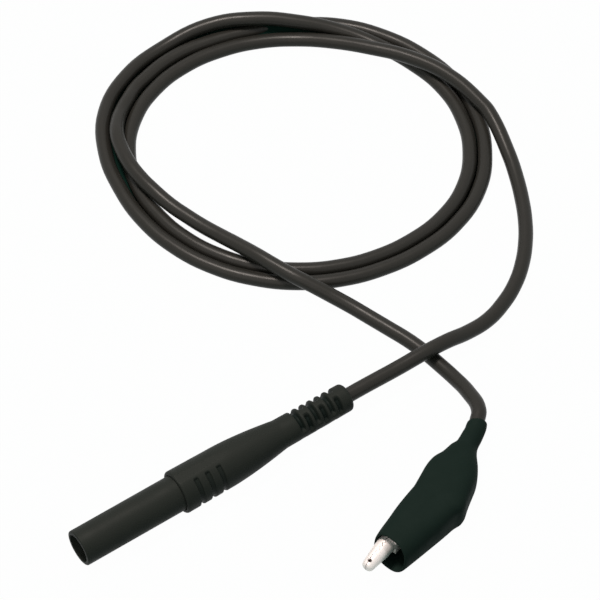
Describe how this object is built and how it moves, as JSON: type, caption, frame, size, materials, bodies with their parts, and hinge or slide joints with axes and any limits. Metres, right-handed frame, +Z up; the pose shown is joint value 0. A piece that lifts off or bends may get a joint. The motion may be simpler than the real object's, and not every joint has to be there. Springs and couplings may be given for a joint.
{
  "type": "test lead",
  "caption": "Coiled test lead with a shrouded banana plug on one end and a crocodile clip in a soft insulating boot on the other.",
  "frame": {"origin": "on the surface, under the middle of the box round the plug and the clip, with the free cable left out", "axes": "+X along the plug from its mouth to its cable, +Y from the plug towards the coil, +Z up"},
  "size_m": [0.1412, 0.1491, 0.0094],
  "materials": {
    "plug_black": "satin moulded PVC",
    "cable_black": "smooth satin jacket",
    "boot_black": "soft matte PVC",
    "jaw_metal": "bright nickel plate",
    "contact_metal": "nickel plate",
    "copper": "bare stranded copper"
  },
  "bodies": {
    "lead": {"contact_pin": "contact_metal", "spring_cage": "contact_metal", "sheath": "plug_black", "grip": "plug_black", "plug_conductor": "copper", "plug_jacket": "cable_black", "plug_lead": "cable_black", "cable_coil": "cable_black", "clip_lead": "cable_black", "clip_jacket": "cable_black", "clip_conductor": "copper", "fixed_jaw": "jaw_metal", "pivot_rivet": "jaw_metal", "torsion_spring": "jaw_metal", "boot": "boot_black"},
    "jaw": {"moving_jaw": "jaw_metal"}
  },
  "joints": [
    {"name": "jaw_hinge", "type": "hinge", "parent": "lead", "child": "jaw", "pos_m": [0.014, -0.0151, 0.00475], "axis": [0, 0, 1], "range_deg": [0, 22], "stiffness_Nm_per_rad": 0.05, "springref_deg": -45.84, "deforming": ["torsion_spring", "boot"]}
  ]
}
